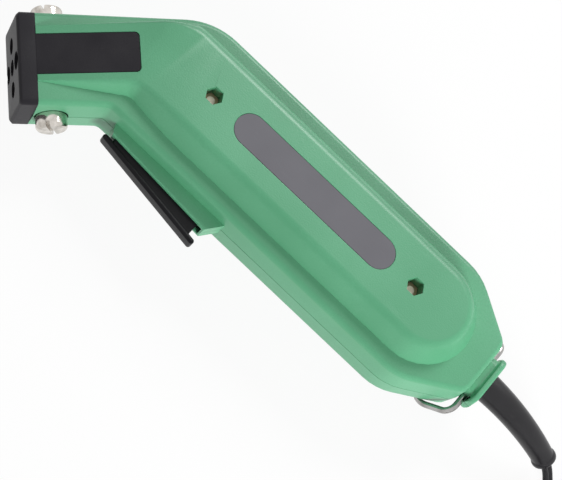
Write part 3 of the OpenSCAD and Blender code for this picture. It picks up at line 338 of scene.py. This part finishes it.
def roundEdges(piece, wanted, width, segments, leastDeg):
    pick(piece)
    bpy.ops.object.mode_set(mode="EDIT")
    bpy.ops.mesh.select_mode(type="EDGE")
    bpy.ops.mesh.select_all(action="DESELECT")
    mesh = bmesh.from_edit_mesh(piece.data)
    count = 0
    for edge in mesh.edges:
        if len(edge.link_faces) == 2 and edge.calc_face_angle(0) > math.radians(leastDeg):
            if all(wanted(vert.co * mmPerMetre) for vert in edge.verts):
                edge.select_set(True)
                count += 1
    bmesh.update_edit_mesh(piece.data)
    if count:
        bpy.ops.mesh.bevel(offset=width, offset_type="OFFSET", segments=segments, profile=0.5,
                           clamp_overlap=False)
    objectMode()
    return count


def smoothOff(piece, degrees):
    pick(piece)
    bpy.ops.object.shade_smooth_by_angle(angle=math.radians(degrees))
    weigh = piece.modifiers.new("evenNormals", "WEIGHTED_NORMAL")
    weigh.keep_sharp = True
    bpy.ops.object.modifier_apply(modifier=weigh.name)


# Skin over rings of points in mm, closed at both ends
def lofted(pieceName, rings):
    count = len(rings[0])
    last = len(rings) - 1
    verts = [Vector(point) / mmPerMetre for ring in rings for point in ring]
    faces = []
    for a in range(last):
        for i in range(count):
            j = (i + 1) % count
            faces.append((a * count + i, a * count + j, (a + 1) * count + j, (a + 1) * count + i))
    faces.append(tuple(range(count - 1, -1, -1)))
    faces.append(tuple(range(last * count, (last + 1) * count)))
    mesh = bpy.data.meshes.new(pieceName)
    mesh.from_pydata(verts, [], faces)
    piece = bpy.data.objects.new(pieceName, mesh)
    scene.collection.objects.link(piece)
    pick(piece)
    bpy.ops.object.mode_set(mode="EDIT")
    bpy.ops.mesh.select_all(action="SELECT")
    bpy.ops.mesh.normals_make_consistent(inside=False)
    objectMode()
    return piece


# Smooth curve through the points, with so many steps between each two
def eased(points, steps):
    out = []
    for i in range(len(points) - 1):
        a, b = points[max(i - 1, 0)], points[i]
        c, d = points[i + 1], points[min(i + 2, len(points) - 1)]
        for j in range(steps):
            t = j / steps
            out.append(b + (c - a) / 2 * t
                       + (2 * a - 5 * b + 4 * c - d) / 2 * t ** 2
                       + (3 * b - a - 3 * c + d) / 2 * t ** 3)
    return out + [points[-1]]


# One ring of the section at each point of the path, its width along wide
def carried(path, wide, section):
    rings = []
    for i, point in enumerate(path):
        along = (path[min(i + 1, len(path) - 1)] - path[max(i - 1, 0)]).normalized()
        across = (wide[i] - wide[i].dot(along) * along).normalized()
        over = along.cross(across)
        rings.append([point + across * u + over * v for u, v in section])
    return rings


def arcPoints(centre, radius, degrees):
    angles = [math.radians(a) for a in degrees]
    return [(centre[0] + radius * math.cos(a), centre[1] + radius * math.sin(a)) for a in angles]


# Flat twin cord, from the clamp in the tail through the sleeve to the coil and the plug; places in mm
cordSet = {
    "start": 89.5, "clampEnd": 97.5, "tail": 109.5, "collarEnd": 116.3, "middle": caseMiddle,
    "sleeveLength": 45.2, "sleeveRun": 3.0, "sleeveSag": 14.2, "runs": (0, 5, 11, 17, 23, 29, 35, 41),
    "way": ((166.5, -1.4, -17.9), (171, -4.4, -20.9), (176, -7.6, -22.6), (182, -10, -23.3),
            (190, -10.8, -23.3), (198, -9.2, -22.7), (206, -6.8, -21.8)),  # z from the middle
    "twist": (0, 0, 0, 0, 0, 30, 62), "coilTwist": 90.0,  # degrees along the way, and on edge in the coil
    "width": 5.6, "thickness": 3.0, "gap": 0.6, "fit": 0.15, "tie": 0.8,
    "coilCentre": (226.0, -50.0), "coilDeg": 84.0, "coilTurns": 5, "coilRadius": 44.0,
    "leadIn": (3, 2, 1, 0),  # cord widths before the coil starts
    "tailRun": 38.0, "tailHold": 14.0, "plugThickness": 13.7,
    "turnSteps": 24, "easeSteps": 4, "tailSteps": 14, "sectionSteps": 4, "smoothDeg": 50,
}


def smoothStep(t):
    t = max(0.0, min(1.0, t))
    return t * t * (3 - 2 * t)


def sleevePoint(x):
    s = cordSet
    t = max(0, x - s["sleeveRun"]) / (s["sleeveLength"] - s["sleeveRun"])
    return Vector((s["collarEnd"] + x, 0, s["middle"] - s["sleeveSag"] * t * t))


def coilAngle(i):
    return math.radians(cordSet["coilDeg"] - 360 / cordSet["turnSteps"] * i)


# The lower layer winds inwards, half a turn climbs, and the upper layer winds outwards
def coilPoint(i):
    s = cordSet
    steps, half = s["turnSteps"], s["turnSteps"] // 2
    first = steps * s["coilTurns"]
    pitch = s["thickness"] + s["gap"]
    inner = s["coilRadius"] - s["coilTurns"] * pitch
    if i <= first:
        radius = s["coilRadius"] - pitch * i / steps
    elif i <= first + half:
        radius = inner - s["thickness"] * math.sin(math.radians(360 / steps * (i - first)))
    else:
        radius = inner + pitch * (i - first - half) / steps
    low = s["width"] / 2 + s["tie"] + 2 * s["fit"]
    height = low + (s["width"] + s["gap"]) * smoothStep((i - first) / half)
    x, y = s["coilCentre"]
    return Vector((x + radius * math.cos(coilAngle(i)), y + radius * math.sin(coilAngle(i)), height))


def coilAlong(i):
    return Vector((math.sin(coilAngle(i)), -math.cos(coilAngle(i)), 0))


def cordLine():
    s = cordSet
    last = 2 * s["turnSteps"] * s["coilTurns"] + s["turnSteps"] // 2
    lead = [Vector((x, 0, s["middle"])) for x in (s["start"], s["clampEnd"], s["tail"])]
    lead += [sleevePoint(x) for x in s["runs"]] + [sleevePoint(s["sleeveLength"])]
    turned = [0.0] * len(lead)
    lead += [Vector((x, y, z + s["middle"])) for x, y, z in s["way"]]
    turned += list(s["twist"])
    lead += [coilPoint(0) - k * s["width"] * coilAlong(0) for k in s["leadIn"]]
    turned += [s["coilTwist"]] * len(s["leadIn"])
    path = eased(lead, s["easeSteps"])
    angles = [math.radians(a) for a in eased(turned, s["easeSteps"])]
    wide = [Vector((0, math.cos(a), math.sin(a))) for a in angles]
    turns = [coilPoint(i / s["easeSteps"]) for i in range(1, s["easeSteps"] * last + 1)]
    end = coilPoint(last)
    plugHeight = s["plugThickness"] / 2 + s["fit"]
    reach = s["tailRun"] - s["tailHold"] - s["width"]
    for k in range(1, s["tailSteps"] + 1):
        run = s["tailRun"] * k / s["tailSteps"]
        z = end.z + (plugHeight - end.z) * smoothStep((run - s["tailHold"]) / reach)
        turns.append(Vector((end.x, end.y, z)) + run * coilAlong(last))
    return path + turns, wide + [Vector((0, 0, 1))] * len(turns)


# Two round strands side by side, with a groove between them
def twinSection():
    r = cordSet["thickness"] / 2
    c = cordSet["width"] / 2 - r
    steps = cordSet["sectionSteps"]
    groove = math.degrees(math.acos(-c / r))
    right = arcPoints((c, 0), r, [groove * k / steps for k in range(-steps, steps + 1)])
    return right + [(-x, -y) for x, y in right[1:-1]]


cordPath, cordWide = cordLine()
cordLength = sum((b - a).length for a, b in zip(cordPath, cordPath[1:])) / mmPerMetre
twinCord = lofted("twinCord", carried(cordPath, cordWide, twinSection()))
smoothOff(twinCord, cordSet["smoothDeg"])
settle(twinCord, "case", ["cord", "cord_coil"])
print("cord laid, %.3f m" % cordLength)

# Plug body: a copy with its edges rounded; round in m
plugSet = {"edgeRound": 0.0006, "roundSteps": 3, "edgeDeg": 40, "smoothDeg": 40}
plugBody = mergedCopy("plug_body", "plugBody")
roundEdges(plugBody, lambda p: True, plugSet["edgeRound"], plugSet["roundSteps"], plugSet["edgeDeg"])
smoothOff(plugBody, plugSet["smoothDeg"])
settle(plugBody, "case", ["plug_body"])
[tuple(point / mmPerMetre) for point in cordPath]

# Wire bow in the neck, folded under the tail; places in mm, steps in degrees
loopSet = {
    "pin": 8.4, "half": 21.44, "corner": 5.0, "round": 14.0, "length": 28.4, "wire": 3.0,
    "hinge": (111.3, caseMiddle), "floorGap": 0.15, "cornerStep": 10, "bowStep": 6, "wireSides": 20,
    "smoothDeg": 50,
}


def loopLine():
    s = loopSet
    x, z = s["hinge"]
    fold = math.asin((z - s["wire"] / 2 - s["floorGap"]) / s["length"])
    bendAt = (s["half"] - s["corner"], s["corner"])
    bowAt = (s["half"] - s["round"], s["length"] - s["round"])
    half = [(s["pin"], 0.0), (bendAt[0], 0.0)]
    half += arcPoints(bendAt, s["corner"], range(s["cornerStep"] - 90, 1, s["cornerStep"]))
    half += arcPoints(bowAt, s["round"], range(0, 91, s["bowStep"]))
    bow = half + [(-across, out) for across, out in reversed(half[:-1])]
    path = [Vector((x - out * math.cos(fold), across, z - out * math.sin(fold))) for across, out in bow]
    return path, Vector((math.sin(fold), 0, -math.cos(fold)))


loopPath, loopUp = loopLine()
wireDegrees = [360 * k / loopSet["wireSides"] for k in range(loopSet["wireSides"])]
wireRing = arcPoints((0, 0), loopSet["wire"] / 2, wireDegrees)
wireLoop = lofted("wireLoop", carried(loopPath, [loopUp] * len(loopPath), wireRing))
smoothOff(wireLoop, loopSet["smoothDeg"])
settle(wireLoop, "hanging_loop", ["hanging_loop"])
print("loop bent")

# Slotted clamp screws, one on each side of the nose; measures in mm along the screw
screwSet = {
    "elbow": -86.3, "bend": 45.0, "middle": caseMiddle, "along": -48.0,
    "seat": 21.0, "top": 28.0, "tip": 13.8,
    "headRadius": 7.0, "headSides": 64, "shankRadius": 3.0, "shankSides": 40,
    "slotWidth": 1.6, "slotDepth": 2.4, "slotTurn": 25.0,
    "rimRound": 1.9, "rimSteps": 7, "footRound": 0.4, "slotRound": 0.18, "tipRound": 0.5, "roundSteps": 2,
    "edgeDeg": 60, "slotEdgeDeg": 35, "near": 0.1, "slotNear": 0.01, "smoothDeg": 32,
}


def clampScrew(pieceName, side):
    s = screwSet
    height = s["top"] - s["seat"]
    shank = s["seat"] - s["tip"]
    steps = s["roundSteps"]
    nothingPicked()
    bpy.ops.mesh.primitive_cylinder_add(
        vertices=s["headSides"], radius=s["headRadius"] / mmPerMetre, depth=height / mmPerMetre,
        location=(0, 0, height / 2 / mmPerMetre))
    head = bpy.context.object
    head.name = pieceName
    bpy.ops.object.transform_apply(location=True)
    roundEdges(head, lambda p: p.z > height - s["near"], s["rimRound"] / mmPerMetre, s["rimSteps"],
               s["edgeDeg"])
    roundEdges(head, lambda p: p.z < s["near"], s["footRound"] / mmPerMetre, steps, s["edgeDeg"])

    nothingPicked()
    bpy.ops.mesh.primitive_cube_add(size=1, location=(0, 0, height / mmPerMetre))
    cutter = bpy.context.object  # centred on the top of the head and longer than it
    cutter.scale = Vector((s["slotWidth"], 4 * s["headRadius"], 2 * s["slotDepth"])) / mmPerMetre
    bpy.ops.object.transform_apply(scale=True)
    pick(head)
    cut = head.modifiers.new("slot", "BOOLEAN")
    cut.object = cutter
    cut.solver = "EXACT"
    bpy.ops.object.modifier_apply(modifier=cut.name)
    bpy.data.objects.remove(cutter)

    def onSlot(p):
        besideSlot = abs(abs(p.x) - s["slotWidth"] / 2) < s["slotNear"]
        return besideSlot and p.z > height - s["slotDepth"] + s["near"]

    roundEdges(head, onSlot, s["slotRound"] / mmPerMetre, steps, s["slotEdgeDeg"])

    nothingPicked()
    bpy.ops.mesh.primitive_cylinder_add(
        vertices=s["shankSides"], radius=s["shankRadius"] / mmPerMetre, depth=shank / mmPerMetre,
        location=(0, 0, -shank / 2 / mmPerMetre))
    stem = bpy.context.object
    bpy.ops.object.transform_apply(location=True)
    roundEdges(stem, lambda p: p.z < s["near"] - shank, s["tipRound"] / mmPerMetre, steps, s["edgeDeg"])
    pick(head)
    stem.select_set(True)
    bpy.ops.object.join()

    slotTurn = Matrix.Rotation(math.radians(-side * s["slotTurn"]), 4, "Z")
    turn = Matrix.Rotation(math.radians(-90 * side), 4, "X") @ slotTurn
    place = Matrix.Translation(Vector((s["along"], side * s["seat"], 0)) / mmPerMetre)
    nose = Matrix.Translation(Vector((s["elbow"], 0, s["middle"])) / mmPerMetre)
    nose = nose @ Matrix.Rotation(math.radians(s["bend"]), 4, "Z")
    head.data.transform(nose @ place @ turn)
    smoothOff(head, s["smoothDeg"])
    return head


settle(clampScrew("clampScrewTop", 1), "clamp_screw_top", ["clamp_screw_top"])
settle(clampScrew("clampScrewBottom", -1), "clamp_screw_bottom", ["clamp_screw_bottom"])
print("clamp screws turned")

# Moulded case halves: copies with the edges of the trigger boss, the collar and the pockets rounded
shellSet = {
    "middle": caseMiddle, "halfThick": 25.0,  # places in mm, rounds in m
    "bossRound": 0.0009, "bossSteps": 3, "bossDeg": 40,
    "bossBelow": -35, "bossBehind": -90, "bossHalf": 5.8,
    "collarRound": 0.0012, "collarSteps": 3, "collarDeg": 60, "collarFrom": 113.0, "collarOff": 1,
    "pocketRound": 0.0003, "pocketSteps": 2, "pocketDeg": 60, "flatNear": 0.02,
    "smoothDeg": 34,
}


def caseHalf(nodeName, pieceName, side):
    s = shellSet
    piece = mergedCopy(nodeName, pieceName)
    flat = s["middle"] + side * s["halfThick"]

    def onBoss(p):
        inSlot = abs(p.z - s["middle"]) < s["bossHalf"] and p.z != s["middle"]
        return inSlot and p.y < s["bossBelow"] and p.x > s["bossBehind"]

    def onCollar(p):
        return p.x > s["collarFrom"] and abs(p.z - s["middle"]) > s["collarOff"]

    def onFlat(p):
        return abs(p.z - flat) < s["flatNear"]

    counts = [
        roundEdges(piece, onBoss, s["bossRound"], s["bossSteps"], s["bossDeg"]),
        roundEdges(piece, onCollar, s["collarRound"], s["collarSteps"], s["collarDeg"]),
        roundEdges(piece, onFlat, s["pocketRound"], s["pocketSteps"], s["pocketDeg"]),
    ]
    print(pieceName, "edges rounded", counts)
    smoothOff(piece, s["smoothDeg"])
    settle(piece, "case", [nodeName])


caseHalf("left_shell", "caseLeft", 1)
caseHalf("right_shell", "caseRight", -1)

# Cap, trigger and sleeve: smoothed copies
smoothSet = {
    "noseCap": {"node": "nose_cap", "body": "case", "smoothDeg": 50},
    "fingerTrigger": {"node": "trigger", "body": "trigger", "smoothDeg": 40},
    "kinkSleeve": {"node": "cord_sleeve", "body": "case", "smoothDeg": 45},
}
for pieceName, spec in smoothSet.items():
    piece = mergedCopy(spec["node"], pieceName)
    smoothOff(piece, spec["smoothDeg"])
    settle(piece, spec["body"], [spec["node"]])

# Return spring, which sits between the trigger and its seat: a smoothed copy with a mesh of its own; its
# seat in m
springSet = {"seat": (-0.031, -0.02425, 0.025), "pressedShare": 0.53, "smoothDeg": 60}
returnSpring = mergedCopy("trigger_spring", "returnSpring")
smoothOff(returnSpring, springSet["smoothDeg"])
settle(returnSpring, "case", ["trigger_spring"])
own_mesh(returnSpring)
print("case, cap, trigger, sleeve and spring finished")

# Studio: pale floor, white surround and two soft lamps
studioSet = {
    "floorSize": 8, "floorTone": (0.90, 0.90, 0.90), "floorWhite": 0.91, "surround": 0.16,
    "aim": (-0.03, 0, 0.02), "lampSize": 0.5,
    "lamps": {
        "tableLamp": {"place": (1.00, -0.70, 0.50), "power": 19.5, "mirrored": False},
        "ceilingLamp": {"place": (-0.08, 0.95, 0.83), "power": 11.6, "mirrored": True},
    },
}
nothingPicked()
bpy.ops.mesh.primitive_plane_add(size=studioSet["floorSize"])
floor = bpy.context.object
floor.name = "studioFloor"


# 1 where the camera, gloss or glass sees the surface, and 0 where it only lights the object
def seenWhite(tree):
    path = tree.nodes.new("ShaderNodeLightPath")
    rays = ("Is Camera Ray", "Is Glossy Ray", "Is Transmission Ray")
    direct, glossy, through = [Wire(tree, path.outputs[ray]) for ray in rays]
    return direct.calc("MAXIMUM", direct.calc("MAXIMUM", direct, glossy), through)


floorMaterial = bpy.data.materials.new("paleFloor")
floorMaterial.use_nodes = True
tree = floorMaterial.node_tree
tree.nodes.clear()
matte = tree.nodes.new("ShaderNodeBsdfDiffuse")
matte.inputs["Color"].default_value = (*studioSet["floorTone"], 1)
glow = tree.nodes.new("ShaderNodeEmission")
blend = tree.nodes.new("ShaderNodeMixShader")
floorEnd = tree.nodes.new("ShaderNodeOutputMaterial")
tree.links.new((seenWhite(tree) * studioSet["floorWhite"]).socket, blend.inputs[0])
tree.links.new(matte.outputs[0], blend.inputs[1])
tree.links.new(glow.outputs[0], blend.inputs[2])
tree.links.new(blend.outputs[0], floorEnd.inputs[0])
floor.data.materials.append(floorMaterial)

world = bpy.data.worlds.new("whiteSurround")
scene.world = world
world.use_nodes = True
tree = world.node_tree
tree.nodes.clear()
sky = tree.nodes.new("ShaderNodeBackground")
skyEnd = tree.nodes.new("ShaderNodeOutputWorld")
skyLight = studioSet["surround"] + seenWhite(tree) * (1 - studioSet["surround"])
tree.links.new(skyLight.socket, sky.inputs["Strength"])
sky.inputs["Color"].default_value = (1, 1, 1, 1)
tree.links.new(sky.outputs[0], skyEnd.inputs[0])
for name, spec in studioSet["lamps"].items():
    bpy.ops.object.light_add(type="AREA", location=spec["place"])
    lamp = bpy.context.object
    lamp.name = name
    lamp.data.size = studioSet["lampSize"]
    lamp.data.energy = spec["power"]
    lamp.visible_glossy = spec["mirrored"]  # whether it shows in gloss
    ray = Vector(studioSet["aim"]) - Vector(spec["place"])
    lamp.rotation_euler = ray.to_track_quat("-Z", "Y").to_euler()
print("studio lit")
